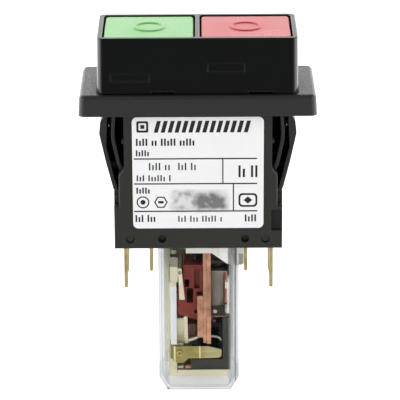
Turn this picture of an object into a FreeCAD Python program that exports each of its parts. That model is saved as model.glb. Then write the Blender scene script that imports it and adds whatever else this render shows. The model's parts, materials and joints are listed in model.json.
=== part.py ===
"""Panel-mounted push-button circuit breaker with a clear plug-in trip relay.

The breaker snaps into a 45 x 22 mm panel cut-out.  Its origin is the centre of the cut-out in the plane of
the panel's front face.  +Z points out of the panel towards the user, +X to the right of the rating label
and +Y away from it, so the label faces -Y.  All sizes are in millimetres.

Above the panel stand a flat bezel, a rectangular collar and two buttons.  Behind the panel are the two
housing shells with the main contacts, six blade terminals, and below them the clear relay with its magnet,
bimetal strips and trip lever.
"""

import FreeCAD
import Part

import math
import os

V = FreeCAD.Vector
OUT = "parts"

# ---------------------------------------------------------------- driving dimensions
BEZEL_W, BEZEL_D, BEZEL_T = 55.0, 25.0, 4.9
BEZEL_CORNER = 1.5
BEZEL_ROUND = 0.95
BEZEL_DRAFT = 0.25            # each side, from the underside to the top
BEZEL_WEB = 1.5               # thickness of the inner web that carries the collar
SPIGOT_W, SPIGOT_D, SPIGOT_H = 44.8, 21.8, 0.4    # step that centres the bezel in the cut-out

COLLAR_W, COLLAR_D = 46.0, 20.9
COLLAR_TOP = 18.1
COLLAR_WALL = 1.15
COLLAR_DRAFT_W, COLLAR_DRAFT_D = 0.2, 0.5        # each side, from the top to the foot
DIVIDER = 1.1

BUTTON_GAP = 0.3              # between a button and the collar
BUTTON_TOP = 17.9
BUTTON_SKIRT = 9.2            # height of a button cap
BUTTON_WALL = 1.2
BUTTON_TRAVEL = 3.0
STEM = 4.0                    # side of a button's square stem
STEM_END = -9.0
GUIDE_TOP = 1.45              # top of the plate that guides the stems

BODY_D = 21.4                 # depth of the two shells together
BODY_H = 33.2
NECK = 17.2                   # half widths of the body: beside the wings, under them and at the base
WAIST = 18.5
HIP = 19.7
SHOULDER_TOP, SHOULDER_LOW = -13.3, -15.0
HIP_TOP = -22.6
WALL = 1.5

WING_AXIS_X, WING_AXIS_Z = 19.1, -19.6
WING_D = 17.0
WING_PIN = 0.6

TAB_W, TAB_T, TAB_L = 6.3, 0.8, 11.0
TAB_ROW = 5.3                 # front and rear rows stand this far from the centre plane
MAIN_TAB_X, COIL_TAB_X = 17.2, 11.4
BASE_T = 3.0

COVER_FRONT, COVER_SIDE = 7.7, 9.7    # half widths at the front face and behind the tapered corners
COVER_DEPTH = 17.4
COVER_TAPER = 7.5
COVER_WALL = 0.6
COVER_FLOOR = 0.8
COVER_END = -70.4

CLEAR = 0.1                   # running and assembly clearance
RIVET = 0.7
RIVET_Z = -30.75
RIVETS_X = (-16.0, 15.7)

BASE_TOP = -BODY_H + BASE_T
BUTTON_X = (COLLAR_W / 2 - COLLAR_WALL + DIVIDER / 2) / 2
BUTTON_W = COLLAR_W / 2 - COLLAR_WALL - DIVIDER / 2 - 2 * BUTTON_GAP
BUTTON_D = COLLAR_D - 2 * COLLAR_WALL - 2 * BUTTON_GAP


# ---------------------------------------------------------------- shape helpers
def block(x0, x1, y0, y1, z0, z1):
    """A box between two corners."""
    return Part.makeBox(x1 - x0, y1 - y0, z1 - z0, V(x0, y0, z0))


def outline(corners, place):
    """A closed wire round corners (u, v) or (u, v, radius); place turns (u, v) into a point."""
    corners = [(c[0], c[1], c[2] if len(c) > 2 else 0.0) for c in corners]
    spots = [place(u, v) for u, v, _ in corners]
    bends = []
    for i, here in enumerate(spots):
        radius = corners[i][2]
        if radius == 0.0:
            bends.append((here, None, here))
            continue
        back = spots[i - 1] - here
        ahead = spots[(i + 1) % len(spots)] - here
        back.normalize()
        ahead.normalize()
        half = back.getAngle(ahead) / 2
        inward = back + ahead
        inward.normalize()
        reach = radius / math.tan(half)
        crown = here + inward * (radius / math.sin(half) - radius)
        bends.append((here + back * reach, crown, here + ahead * reach))
    edges = []
    for i, (start, crown, end) in enumerate(bends):
        if crown is not None:
            edges.append(Part.Arc(start, crown, end).toShape())
        following = bends[(i + 1) % len(bends)][0]
        if (following - end).Length > 1e-6:
            edges.append(Part.makeLine(end, following))
    return Part.Wire(edges)


def front_prism(corners, y0, y1):
    """An outline drawn in X and Z, extruded along Y."""
    return Part.Face(outline(corners, lambda u, v: V(u, y0, v))).extrude(V(0, y1 - y0, 0))


def plan_prism(corners, z0, z1):
    """An outline drawn in X and Y, extruded along Z."""
    return Part.Face(outline(corners, lambda u, v: V(u, v, z0))).extrude(V(0, 0, z1 - z0))


def side_prism(corners, x0, x1):
    """An outline drawn in Y and Z, extruded along X."""
    return Part.Face(outline(corners, lambda u, v: V(x0, u, v))).extrude(V(x1 - x0, 0, 0))


def rectangle(w, d, r=0.0):
    """Corners of a rectangle round the origin."""
    return [(-w / 2, -d / 2, r), (w / 2, -d / 2, r), (w / 2, d / 2, r), (-w / 2, d / 2, r)]


def rod(start, direction, radius, length):
    """A round rod."""
    return Part.makeCylinder(radius, length, V(*start), V(*direction))


def rod_y(x, z, radius, y0, y1):
    """A round rod along Y."""
    return rod((x, y0, z), (0, 1, 0), radius, y1 - y0)


def rod_z(x, y, radius, z0, z1):
    """A round rod along Z."""
    return rod((x, y, z0), (0, 0, 1), radius, z1 - z0)


def mirrored(shape):
    """The shape reflected from left to right."""
    return shape.mirror(V(0, 0, 0), V(1, 0, 0))


def softened(shape, radius, wanted):
    """Rounds each edge for which wanted(edge) is true."""
    return shape.makeFillet(radius, [e for e in shape.Edges if wanted(e)])


def lies_at_z(edge, z):
    """True if the whole edge lies at that height."""
    return abs(edge.BoundBox.ZMin - z) < 1e-4 and abs(edge.BoundBox.ZMax - z) < 1e-4


def lies_at_y(edge, y):
    """True if the whole edge lies in that plane."""
    return abs(edge.BoundBox.YMin - y) < 1e-4 and abs(edge.BoundBox.YMax - y) < 1e-4


def coil_spring(x, y, z0, z1, radius, wire, turns):
    """A helical wire spring standing on z0; radius is that of the wire's centre line."""
    low, high = z0 + wire / 2, z1 - wire / 2
    helix = Part.makeLongHelix((high - low) / turns, high - low, radius)
    section = Part.Wire(Part.makeCircle(wire / 2, V(radius, 0, 0), V(0, 1, 0)))
    spring = Part.Wire(helix).makePipeShell([section], True, True)
    spring.translate(V(x, y, low))
    return spring


def save(name, *solids):
    """Writes one node."""
    shape = solids[0] if len(solids) == 1 else Part.makeCompound(list(solids))
    shape.exportStep(os.path.join(OUT, name + ".step"))
    NODES[name] = shape


NODES = {}


# ---------------------------------------------------------------- bezel, collar and buttons
def bezel_leg():
    """Left leg: a bowed strip that hooks over the shoulder of the housing."""
    strip = [
        (-19.8, 0.4), (-20.25, -6.4, 12.0), (-18.95, -12.6, 6.0), (-18.2, -14.5),
        (-17.6, -13.7), (-18.15, -12.3, 6.0), (-19.4, -6.4, 12.0), (-19.0, 0.4),
    ]
    return front_prism(strip, -WING_D / 2, WING_D / 2)


def bezel_frame():
    """Flat frame that rests on the panel, with an inner web and two legs."""
    low = outline(rectangle(BEZEL_W, BEZEL_D, BEZEL_CORNER), lambda u, v: V(u, v, 0))
    top_w, top_d = BEZEL_W - 2 * BEZEL_DRAFT, BEZEL_D - 2 * BEZEL_DRAFT
    high = outline(rectangle(top_w, top_d, BEZEL_CORNER), lambda u, v: V(u, v, BEZEL_T))
    frame = Part.makeLoft([low, high], True, True)
    frame = softened(frame, BEZEL_ROUND, lambda e: lies_at_z(e, BEZEL_T))
    well_w = COLLAR_W + 2 * COLLAR_DRAFT_W + 2 * CLEAR
    well_d = COLLAR_D + 2 * COLLAR_DRAFT_D + 2 * CLEAR
    well = plan_prism(rectangle(well_w, well_d, 1.5), BEZEL_WEB, BEZEL_T + 1)
    spigot = plan_prism(rectangle(SPIGOT_W, SPIGOT_D, 0.8), -SPIGOT_H, 0.0)
    window = plan_prism(rectangle(36.0, 17.6, 1.0), -1, BEZEL_WEB + 1)
    frame = frame.fuse(spigot).cut(well).cut(window)
    return frame.fuse([bezel_leg(), mirrored(bezel_leg())]).removeSplitter()


def collar_face(z):
    """Y of the collar's slanting front face at a height."""
    return -COLLAR_D / 2 - COLLAR_DRAFT_D * (COLLAR_TOP - z) / (COLLAR_TOP - BEZEL_WEB)


def button_collar():
    """Deep rectangular guard round both buttons, with a wall between them."""
    bottom_w, bottom_d = COLLAR_W + 2 * COLLAR_DRAFT_W, COLLAR_D + 2 * COLLAR_DRAFT_D
    low = outline(rectangle(bottom_w, bottom_d, 1.4), lambda u, v: V(u, v, BEZEL_WEB))
    high = outline(rectangle(COLLAR_W, COLLAR_D, 1.4), lambda u, v: V(u, v, COLLAR_TOP))
    guard = Part.makeLoft([low, high], True, True)
    cell_w = COLLAR_W / 2 - COLLAR_WALL - DIVIDER / 2
    cell_d = COLLAR_D - 2 * COLLAR_WALL
    cell = plan_prism(rectangle(cell_w, cell_d, 0.8), BEZEL_WEB - 1, COLLAR_TOP + 1)
    for side in (-1, 1):
        guard = guard.cut(cell.translated(V(side * BUTTON_X, 0, 0)))
    guard = softened(guard, 0.22, lambda e: lies_at_z(e, COLLAR_TOP))
    for x0, x1, z0, z1 in ((-20.1, -11.0, 7.8, 9.8), (2.3, 10.9, 10.0, 12.1)):
        face = collar_face((z0 + z1) / 2)
        ring = block(x0, x1, face - 1, face + 0.09, z0, z1)
        guard = guard.cut(ring.cut(block(x0 + 0.2, x1 - 0.2, face - 2, face + 1, z0 + 0.2, z1 - 0.2)))
    foot = collar_face(BEZEL_T)
    for x0, x1 in ((-10.6, -5.5), (11.7, 17.3)):
        guard = guard.cut(block(x0, x1, foot - 1, foot + 0.4, BEZEL_T - 0.4, BEZEL_T + 0.55))
    return guard


def button(side):
    """A cap with a skirt, a raised ring on its top and a square stem below."""
    cap = plan_prism(rectangle(BUTTON_W, BUTTON_D, 1.1), BUTTON_TOP - BUTTON_SKIRT, BUTTON_TOP)
    cap = softened(cap, 0.45, lambda e: lies_at_z(e, BUTTON_TOP))
    inside_w, inside_d = BUTTON_W - 2 * BUTTON_WALL, BUTTON_D - 2 * BUTTON_WALL
    cap = cap.cut(
        plan_prism(rectangle(inside_w, inside_d, 0.5), BUTTON_TOP - BUTTON_SKIRT - 1, BUTTON_TOP - BUTTON_WALL)
    )
    stem = plan_prism(rectangle(STEM, STEM, 0.3), STEM_END, BUTTON_TOP - BUTTON_WALL)
    ring = Part.makeTorus(3.4, 0.85, V(0, 0, BUTTON_TOP - 0.6))
    ring = ring.common(block(-6, 6, -6, 6, BUTTON_TOP - 0.6, BUTTON_TOP + 1))
    return cap.fuse([stem, ring]).removeSplitter().translated(V(side * BUTTON_X, 0, 0))


def button_guide():
    """Plate that closes the housing, seats the return springs and guides the stems."""
    plate = plan_prism(rectangle(35.6, 17.2, 0.8), -SPIGOT_H, GUIDE_TOP)
    flange = block(-NECK + WALL + CLEAR, NECK - WALL - CLEAR, -BODY_D / 2 + WALL + CLEAR,
                   BODY_D / 2 - WALL - CLEAR, -1.9, -SPIGOT_H)
    guide = plate.fuse(flange).removeSplitter()
    hole = STEM + 2 * CLEAR
    for side in (-1, 1):
        chute = plan_prism(rectangle(hole + 2.0, hole + 2.0, 0.6), -4.5, -1.9)
        guide = guide.fuse(chute.translated(V(side * BUTTON_X, 0, 0)))
    for side in (-1, 1):
        guide = guide.cut(plan_prism(rectangle(hole, hole), -9, 9).translated(V(side * BUTTON_X, 0, 0)))
    return guide.removeSplitter()


def return_spring(side):
    """Spring round a stem, between the guide plate and the button cap."""
    return coil_spring(side * BUTTON_X, 0, GUIDE_TOP, BUTTON_TOP - BUTTON_WALL, 3.9, 0.55, 8)


# ---------------------------------------------------------------- housing
def body_outline(inset):
    """Front outline of the housing, or of its hollow when inset is the wall thickness."""
    top, low = (1.0, -BODY_H - 1.0) if inset else (-SPIGOT_H, -BODY_H)
    right = [
        (HIP - inset, low), (HIP - inset, HIP_TOP + inset * 0.2), (WAIST - inset, HIP_TOP + inset * 0.2),
        (WAIST - inset, SHOULDER_LOW - inset * 0.4), (NECK - inset, SHOULDER_TOP - inset * 0.4), (NECK - inset, top),
    ]
    return right + [(-x, z) for x, z in reversed(right)]


def wing_seat(side, y0, y1):
    """Block on the side of the housing with a round groove for the wing's foot."""
    seat = block(WAIST - 0.2, HIP, y0, y1, HIP_TOP - 0.2, WING_AXIS_Z)
    seat = seat.cut(rod_y(WING_AXIS_X, WING_AXIS_Z, WING_PIN + CLEAR, y0 - 1, y1 + 1))
    return seat if side > 0 else mirrored(seat)


def housing_shell(front):
    """Half of the housing: front is -1 for the labelled half and 1 for the rear half."""
    face = front * BODY_D / 2
    inner = face - front * WALL
    y0, y1 = min(face, 0.0), max(face, 0.0)
    shell = front_prism(body_outline(0.0), y0, y1)
    shell = softened(shell, 0.35, lambda e: lies_at_y(e, face) and e.BoundBox.ZMax < -SPIGOT_H - 0.01)
    shell = shell.cut(front_prism(body_outline(WALL), min(inner, 0.0), max(inner, 0.0)))
    seat_y = sorted((0.0, front * WING_D / 2))
    for side in (-1, 1):
        shell = shell.fuse(wing_seat(side, *seat_y))
        nub = rod_y(side * (NECK + 0.1), -6.9, 0.45, *sorted((face - front * 0.4, face - front * 2.4)))
        shell = shell.fuse(nub)
        groove = rod_y(side * WING_AXIS_X, WING_AXIS_Z, WING_PIN + CLEAR, *seat_y)
        shell = shell.cut(groove)
    for x in RIVETS_X:
        shell = shell.cut(rod_y(x, RIVET_Z, 1.05, *sorted((face + front, face - front * 1.0))))
        shell = shell.cut(rod_y(x, RIVET_Z, RIVET + CLEAR / 2, *sorted((face, inner - front))))
    for x in (-8.5, 10.95):
        shell = shell.cut(rod_y(x, RIVET_Z, 1.0, *sorted((face + front, face - front * 1.1))))
    recess_x = (17.1, HIP + 1) if front < 0 else (-HIP - 1, -17.1)
    shell = shell.cut(block(*recess_x, *sorted((face + front, face - front * 0.8)), -28.75, -23.5))
    if front > 0:
        shell = shell.cut(rear_panel(face)).fuse([wing_cheek(), mirrored(wing_cheek())])
    return shell.removeSplitter()


def wing_cheek():
    """Plate on the rear half that closes the space behind the right wing."""
    corners = [
        (NECK - 0.5, -SPIGOT_H), (21.2, -SPIGOT_H), (21.8, -5.0, 3.0), (20.9, -12.0), (19.6, -17.5), (WAIST - 0.5, -18.5),
        (WAIST - 0.5, SHOULDER_LOW - 0.5), (NECK - 0.5, SHOULDER_TOP - 0.5),
    ]
    return front_prism(corners, WING_D / 2 + CLEAR, BODY_D / 2 - 0.6)


def rear_panel(face):
    """Shallow field and cooling slots that are cut into the rear half."""
    field = front_prism(
        [(x, z, 1.0) for x, z in ((-15.0, -1.2), (15.0, -1.2), (15.0, -27.6), (-15.0, -27.6))], face - 0.25, face + 1
    )
    slots = [
        front_prism([(x, z, 0.45) for x, z in ((-9, z0), (9, z0), (9, z0 - 1.0), (-9, z0 - 1.0))], face - 0.9, face + 1)
        for z0 in (-6.0, -8.6, -11.2, -13.8)
    ]
    return field.fuse(slots)


def rating_label():
    """Thin plate with rounded corners on the front half."""
    corners = [(x, z, 1.2) for x, z in ((-15.25, -0.65), (15.25, -0.65), (15.25, -28.0), (-15.25, -28.0))]
    return front_prism(corners, -BODY_D / 2 - 0.12, -BODY_D / 2)


def housing_rivets():
    """Two through rivets that hold the shells and the terminal base together."""
    head = BODY_D / 2 - 1.0
    made = []
    for x in RIVETS_X:
        rivet = rod_y(x, RIVET_Z, RIVET, -head, head)
        for front in (-1, 1):
            rivet = rivet.fuse(rod_y(x, RIVET_Z, 0.95, *sorted((front * head, front * (head + 0.5)))))
        made.append(rivet.removeSplitter())
    return made


def snap_wing():
    """Right wing: a springy arm that swings about its round foot and holds the panel."""
    arm = [
        (21.85, -0.6, 0.3), (22.1, -1.5), (22.65, -2.55, 0.6), (22.95, -5.4, 3.0), (21.45, -12.5), (19.85, -18.9, 0.6),
        (19.4, -19.6), (18.8, -19.4), (19.15, -17.6), (19.6, -16.4), (20.4, -12.6), (21.35, -8.8, 3.0),
        (21.15, -4.6, 1.0), (20.95, -0.6, 0.3),
    ]
    wing = front_prism(arm, -WING_D / 2 + CLEAR, WING_D / 2 - CLEAR)
    foot = rod_y(WING_AXIS_X, WING_AXIS_Z, WING_PIN, -WING_D / 2 + CLEAR, WING_D / 2 - CLEAR)
    return wing.fuse(foot).removeSplitter()


# ---------------------------------------------------------------- terminals and main contacts
def tab_blade(x, row, top):
    """Flat blade with a pierced hole and a chamfered tip; its wide side lies along Y."""
    y = row * TAB_ROW
    tip = -BODY_H - TAB_L
    half = TAB_W / 2
    corners = [
        (y - half, top), (y - half, tip + 1.2), (y - half + 0.9, tip), (y + half - 0.9, tip),
        (y + half, tip + 1.2), (y + half, top),
    ]
    blade = side_prism(corners, x - TAB_T / 2, x + TAB_T / 2)
    return blade.cut(rod((x - 1, y, tip + 4.0), (1, 0, 0), 0.9, 2.0))


def main_tab(side, row):
    """Blade terminal with a foot that carries a fixed contact inside the housing."""
    foot_top = -27.8
    blade = tab_blade(side * MAIN_TAB_X, row, foot_top)
    outer = MAIN_TAB_X + TAB_T / 2
    xs = sorted((side * outer, side * 10.6))
    half = TAB_W / 2
    foot = block(*xs, row * TAB_ROW - half, row * TAB_ROW + half, foot_top - TAB_T, foot_top)
    return blade.fuse(foot).removeSplitter()


def fixed_contacts():
    """Four silver buttons riveted on the feet of the main terminals."""
    return [
        rod_z(side * BRIDGE_X, row * TAB_ROW, 1.2, -27.8, -27.0)
        for side in (-1, 1) for row in (-1, 1)
    ]


def coil_tab(side):
    """Blade terminal of the relay coil, in the rear row, with a short foot."""
    top = BASE_TOP + TAB_T
    blade = tab_blade(side * COIL_TAB_X, 1, top)
    xs = sorted((side * (COIL_TAB_X + TAB_T / 2), side * 7.6))
    foot = block(*xs, TAB_ROW - 1.5, TAB_ROW + 1.5, top - TAB_T, top)
    return blade.fuse(foot).removeSplitter()


def terminal_base():
    """Floor of the housing, slotted for the terminals and drilled for the rivets and the trip rod."""
    base = block(-HIP + WALL + CLEAR, HIP - WALL - CLEAR, -BODY_D / 2 + WALL + CLEAR,
                 BODY_D / 2 - WALL - CLEAR, -BODY_H, BASE_TOP)
    slot = block(-TAB_T / 2 - 0.05, TAB_T / 2 + 0.05, -TAB_W / 2 - 0.05, TAB_W / 2 + 0.05, -BODY_H - 1, BASE_TOP + 1)
    for side in (-1, 1):
        for row in (-1, 1):
            base = base.cut(slot.translated(V(side * MAIN_TAB_X, row * TAB_ROW, 0)))
        base = base.cut(slot.translated(V(side * COIL_TAB_X, TAB_ROW, 0)))
    for x in RIVETS_X:
        base = base.cut(rod_y(x, RIVET_Z, RIVET + CLEAR / 2, -BODY_D, BODY_D))
    return base.cut(rod_z(ROD_X, ROD_Y, ROD_R + CLEAR, -BODY_H - 1, BASE_TOP + 1))


BRIDGE_X = 12.5
CARRIER_TOP, CARRIER_BAR_TOP, CARRIER_BAR_LOW = STEM_END - 0.05, -16.5, -19.0
BRIDGE_TOP, BRIDGE_LOW = -22.3, -22.9
ROD_X, ROD_Y, ROD_R = -3.1, 4.0, 0.8


def contact_carrier():
    """Slider that the ON stem pushes down, with a peg for each contact bridge."""
    column = block(-BUTTON_X - 2.0, -BUTTON_X + 2.0, -1.8, 1.8, CARRIER_BAR_TOP, CARRIER_TOP)
    bar = block(-14.6, 14.6, -1.8, 1.8, CARRIER_BAR_LOW, CARRIER_BAR_TOP)
    carrier = column.fuse(bar)
    for side in (-1, 1):
        carrier = carrier.fuse(rod_z(side * BRIDGE_X, 0, 0.8, BRIDGE_LOW - 0.4, CARRIER_BAR_LOW))
        carrier = carrier.fuse(rod_z(side * BRIDGE_X, 0, 1.3, BRIDGE_LOW - 0.4, BRIDGE_LOW))
    boss = rod_z(0, 0, 1.5, CARRIER_BAR_LOW - 1.2, CARRIER_BAR_LOW)
    return carrier.fuse(boss).removeSplitter()


def contact_bridges():
    """Two brass bars, each joining a line terminal to its load terminal."""
    bar = plan_prism(rectangle(3.6, 13.4, 0.8), BRIDGE_LOW, BRIDGE_TOP)
    bar = bar.cut(rod_z(0, 0, 0.85, BRIDGE_LOW - 1, BRIDGE_TOP + 1))
    return [bar.translated(V(side * BRIDGE_X, 0, 0)) for side in (-1, 1)]


def moving_contacts():
    """Four silver buttons under the ends of the bridges."""
    return [
        rod_z(side * BRIDGE_X, row * TAB_ROW, 1.2, BRIDGE_LOW - 1.0, BRIDGE_LOW)
        for side in (-1, 1) for row in (-1, 1)
    ]


def bridge_springs():
    """Two springs that press the bridges down against their pegs' heads."""
    return [coil_spring(side * BRIDGE_X, 0, BRIDGE_TOP, CARRIER_BAR_LOW, 1.4, 0.4, 4) for side in (-1, 1)]


def carrier_spring():
    """Spring that lifts the contact carrier."""
    return coil_spring(0, 0, BASE_TOP, CARRIER_BAR_LOW, 2.2, 0.5, 6)


def trip_slider():
    """Arm under the OFF stem with the rod that reaches down to the trip lever."""
    arm = block(ROD_X - 1.4, BUTTON_X + 2.0, -1.5, 1.5, -11.5, CARRIER_TOP)
    reach = block(ROD_X - 1.4, ROD_X + 1.4, 1.5, ROD_Y + 1.2, -11.5, CARRIER_TOP)
    return arm.fuse([reach, rod_z(ROD_X, ROD_Y, ROD_R, LEVER_TOP + 2.95, -11.5)]).removeSplitter()


# ---------------------------------------------------------------- relay: cover and frame
def cover_outline(inset):
    """Plan of the relay cover: its front corners taper over a long way."""
    depth = COVER_DEPTH / 2 - inset
    front, side = COVER_FRONT - inset, COVER_SIDE - inset
    taper_end = -COVER_DEPTH / 2 + COVER_TAPER + inset * 0.25
    rear = 1.2 - inset * 0.5
    return [
        (-front, -depth, 0.35), (front, -depth, 0.35), (side, taper_end, 0.8), (side, depth, rear),
        (-side, depth, rear), (-side, taper_end, 0.8),
    ]


RELAY_TOP = -BODY_H
EAR_D = 6.0
EAR_LOW = -40.6


def relay_cover():
    """Clear box, closed below, with a notch in its right wall for the bracket's ear."""
    top = RELAY_TOP
    box = plan_prism(cover_outline(0.0), COVER_END, top)
    box = softened(box, 0.3, lambda e: lies_at_z(e, COVER_END))
    box = box.cut(plan_prism(cover_outline(COVER_WALL), COVER_END + COVER_FLOOR, top + 1))
    notch = block(6, 12, -EAR_D / 2 - CLEAR, EAR_D / 2 + CLEAR, EAR_LOW - CLEAR, top + 1)
    return box.cut(notch)


def top_bracket():
    """White head of the relay: top plate, front apron with a slanted edge, and the ear at the right."""
    top = RELAY_TOP
    plate = plan_prism([(-6.4, -6.6), (6.4, -6.6), (8.0, -1.0), (8.0, 6.2), (-8.0, 6.2), (-8.0, -1.0)], top - 1.0, top)
    plate = plate.cut(rod_z(ROD_X, ROD_Y, ROD_R + CLEAR, top - 2, top + 1))
    apron = front_prism([(-3.0, top), (7.0, top), (7.0, -38.75), (3.15, -35.9), (-3.0, -35.9)], -6.8, -3.6)
    apron = apron.fuse(block(4.9, 6.8, -7.15, -6.8, -36.7, top))
    apron = apron.cut(block(1.05, 3.0, STRIP_Y0 - CLEAR, STRIP_Y1 + CLEAR, -40, STRIP_TOP + 0.05))
    ear = front_prism(
        [(7.0, top), (10.85, top), (10.85, -37.5), (9.6, -37.5), (9.6, EAR_LOW), (7.8, EAR_LOW), (7.0, -39.9)],
        -EAR_D / 2, EAR_D / 2,
    )
    return plate.fuse([apron, ear]).removeSplitter()


def cover_latch():
    """Hook beside the ear that keeps the cover from sliding off."""
    return front_prism([(9.62, -37.5), (10.75, -37.5), (10.75, -40.3, 0.3), (10.3, -40.6, 0.2), (9.62, -40.6)], -2.4, 2.4)


def relay_frame():
    """Cream carrier: rear wall, left posts and the floor that carries the magnet."""
    rear = plan_prism([(-8.5, 6.3), (8.5, 6.3), (8.5, 7.6, 0.9), (-8.5, 7.6, 0.9)], -69.55, RELAY_TOP - 1.0)
    post = block(-7.25, -5.35, -5.0, 6.3, -66.9, -44.0)
    head = block(-6.8, -4.95, -4.9, 6.3, -44.0, -40.1)
    floor = block(-7.4, 7.4, -5.0, 6.3, -68.4, -66.9)
    web = block(-5.35, -3.1, -4.4, 6.3, -60.0, -53.6)
    boss = rod_y(PAWL_X, PAWL_Z, 0.55, -4.9, 6.3)
    frame = rear.fuse([post, head, web, floor, boss]).removeSplitter()
    return frame.cut(rod_y(LEVER_X, LEVER_Z, LEVER_PIN, 5, 8)).cut(rod_y(PAWL_X, PAWL_Z, 0.3, -6, 0))


def side_spacer():
    """White strip at the right that keeps the clear insulator away from the coil."""
    strip = block(6.85, 7.35, -5.3, -3.2, -52.0, -42.9)
    lips = [block(6.3, 7.0, -6.55, -5.0, z0, z0 + 1.6) for z0 in (-45.0, -51.4)]
    return strip.fuse(lips).removeSplitter()


def clear_insulator():
    """Thin clear sheet in front of the coil."""
    return front_prism([(x, z, 0.3) for x, z in ((1.75, -40.5), (6.75, -40.5), (6.75, -52.2), (1.75, -52.2))], -6.85, -6.55)


def head_block():
    """Black block behind the apron that insulates the coil's leads."""
    body = block(-1.9, 6.9, -3.5, 6.3, -38.8, RELAY_TOP - 1.0)
    return body.cut(block(-0.6, 0.8, -4, -2.0, -39, -36.0))


def adjuster_block():
    """Small steel block at the top of the left post, threaded for the setting screw."""
    return block(-6.8, -4.95, -4.9, -1.0, -40.1, -37.6).cut(rod_z(-5.9, -3.0, 0.6, -41, -37))


def setting_screw():
    """Slotted screw that sets the tripping current."""
    screw = rod_z(-5.9, -3.0, 0.58, -40.1, -37.0).fuse(rod_z(-5.9, -3.0, 1.05, -37.0, -36.2))
    return screw.cut(block(-7.1, -4.7, -3.15, -2.85, -36.55, -36.0)).removeSplitter()


# ---------------------------------------------------------------- relay: magnet
COIL_X, COIL_Y, COIL_R = 4.3, -1.8, 2.6
COIL_TOP, COIL_LOW = -41.3, -50.4
YOKE_TOP = -40.3
ARMATURE_X, ARMATURE_Z = 6.5, -39.9


def magnet_yoke():
    """Bent steel: a floor leg, a broad leg at the right and a narrower one behind the coil."""
    floor_leg = block(-2.0, 7.6, -4.6, 4.5, -66.9, -64.2)
    side_leg = block(5.7, 7.6, -4.6, 4.5, -64.2, -53.4)
    rear_leg = block(5.7, 7.4, 2.2, 4.5, -53.4, YOKE_TOP)
    return floor_leg.fuse([side_leg, rear_leg]).removeSplitter()


def coil_bobbin():
    """Black spool: two flanges and a tube."""
    top = block(1.75, 6.85, -4.95, 1.6, COIL_TOP, COIL_TOP + 0.8)
    low = block(1.75, 6.85, -4.95, 1.6, COIL_LOW - 2.2, COIL_LOW)
    spool = top.fuse([low, rod_z(COIL_X, COIL_Y, 1.6, COIL_LOW, COIL_TOP)]).removeSplitter()
    spool = spool.cut(rod_z(COIL_X, COIL_Y, 1.2, -60, -30))
    return spool.cut(rod_y(3.9, -51.5, 0.45, -6, -3.9))


def coil_winding():
    """Copper wire between the flanges, as one sleeve."""
    sleeve = rod_z(COIL_X, COIL_Y, COIL_R, COIL_LOW, COIL_TOP)
    return sleeve.cut(rod_z(COIL_X, COIL_Y, 1.6, -60, -30))


def coil_tape():
    """Grey tape round the front and left of the winding."""
    sleeve = rod_z(COIL_X, COIL_Y, COIL_R + 0.15, COIL_LOW + 0.1, COIL_TOP - 0.1)
    sleeve = sleeve.cut(rod_z(COIL_X, COIL_Y, COIL_R, -60, -30))
    return sleeve.cut(block(COIL_X + 1.6, COIL_X + 4, COIL_Y - 4, COIL_Y + 4, -60, -30))


def coil_core():
    """Steel core through the spool."""
    return rod_z(COIL_X, COIL_Y, 1.2, -52.7, -40.35)


def start_pin():
    """Tinned pin in the lower flange where the winding starts."""
    return rod_y(3.9, -51.5, 0.45, -5.25, -3.9)


def armature():
    """Steel flap over the core, hinged on the rear leg of the yoke."""
    corners = [(2.4, -3.4, 0.5), (6.85, -3.4, 0.5), (6.85, 4.4), (5.7, 4.4), (2.4, 1.0, 0.5)]
    flap = plan_prism(corners, ARMATURE_Z, ARMATURE_Z + 0.8)
    return flap.fuse(rod_y(ARMATURE_X, ARMATURE_Z, 0.3, 2.2, 4.4)).removeSplitter()


def armature_spring():
    """Small spring that holds the armature off the core."""
    return coil_spring(COIL_X - 1.2, COIL_Y + 1.9, COIL_TOP + 0.8, ARMATURE_Z, 0.45, 0.14, 3)


# ---------------------------------------------------------------- relay: trip mechanism
LEVER_X, LEVER_Z, LEVER_PIN, PIN_FRONT = -1.0, -42.4, 0.6, -2.8
LEVER_TOP = -39.6
LEVER_FRONT, LEVER_REAR = -4.9, 5.2
PAWL_X, PAWL_Z = -4.5, -41.2
STRIP_Y0, STRIP_Y1 = -6.35, -5.05
STRIP_TOP, LONG_LOW, SHORT_LOW, SHORT_TOP = -34.7, -59.2, -57.65, -47.0
RIVET_BLADE_X, RIVET_BLADE_Z = -4.65, -61.4


def trip_lever():
    """Red moulded lever on a pin, with pockets in its front face and a nose at its lower right."""
    body = [
        (-3.65, LEVER_TOP, 0.3), (0.9, LEVER_TOP, 0.3), (0.9, -52.9), (4.0, -53.2, 0.2), (2.9, -54.0, 0.3),
        (-0.9, -53.7, 0.6), (-5.05, -52.3, 0.4), (-5.05, -45.6, 0.3), (-3.65, -43.9, 0.5),
    ]
    lever = front_prism(body, LEVER_FRONT, LEVER_REAR)
    front = LEVER_FRONT
    pockets = [
        (-3.4, -2.25, -45.3, -43.3, 6.5), (-2.9, -1.35, -49.3, -45.55, 5.5),
        (-1.1, 0.25, -45.6, -40.9, 1.2), (-0.4, 0.7, -47.5, -46.5, 5.5), (-1.1, -0.4, -52.1, -51.2, 4.0),
    ]
    for x0, x1, z0, z1, depth in pockets:
        lever = lever.cut(block(x0, x1, front - 1, front + depth, z0, z1))
    ridge = block(-1.15, 0.75, front - 0.1, front, -46.4, -45.75)
    ridge = ridge.fuse(block(-1.15, -0.55, front - 0.1, front, -49.7, -45.75))
    nose = block(3.35, 3.95, STRIP_Y0 + 0.2, front + 0.1, -53.85, -53.3)
    lever = lever.fuse([ridge, nose]).removeSplitter()
    return lever.cut(rod_y(LEVER_X, LEVER_Z, LEVER_PIN + 0.05, PIN_FRONT - 0.1, 9))


def lever_pin():
    """Steel pin that carries the trip lever."""
    return rod_y(LEVER_X, LEVER_Z, LEVER_PIN, PIN_FRONT, 7.4)


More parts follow.
